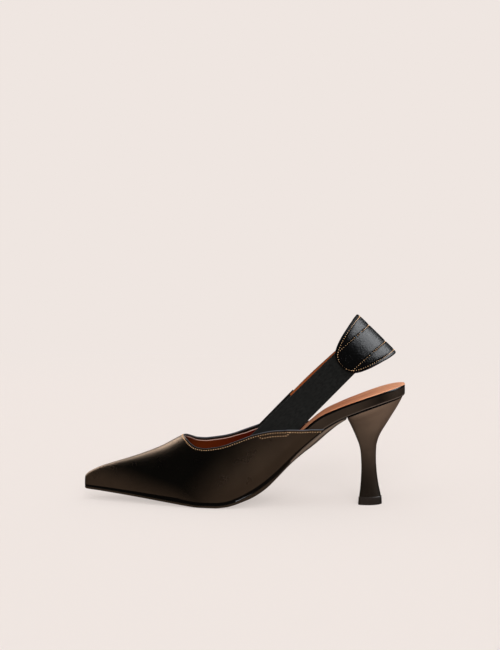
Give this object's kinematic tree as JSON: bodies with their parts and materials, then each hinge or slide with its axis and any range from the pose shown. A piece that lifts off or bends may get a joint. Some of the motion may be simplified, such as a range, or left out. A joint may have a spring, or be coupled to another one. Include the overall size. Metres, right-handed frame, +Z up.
{
  "type": "slingback pump",
  "caption": "Pointed-toe slingback pump with a flared heel, a wide elastic sling and a padded, quilted heel tab, left shoe.",
  "frame": {"origin": "on the floor, at the middle of the flat spot under the ball of the foot", "axes": "+X towards the heel along the shoe's length, -Y towards the outer (lateral) side, +Z up"},
  "size_m": [0.243, 0.0772, 0.1422],
  "materials": {
    "outsole": "satin, dark edge",
    "insole_cover": "smooth, semi-gloss",
    "sock_leather": "smooth, satin",
    "upper_leather": "fine grain, semi-gloss",
    "heel_cover": "smooth, semi-gloss",
    "top_piece": "satin",
    "elastic": "woven, matt",
    "tab_leather": "padded, glossy"
  },
  "bodies": {
    "root": {"outsole": "outsole", "insole": "insole_cover", "sock_lining": "sock_leather", "upper": "upper_leather", "heel": "heel_cover", "top_piece": "top_piece", "elastic_lateral": "elastic", "elastic_medial": "elastic", "strap_medial": "tab_leather", "heel_tab": "tab_leather"}
  },
  "joints": []
}
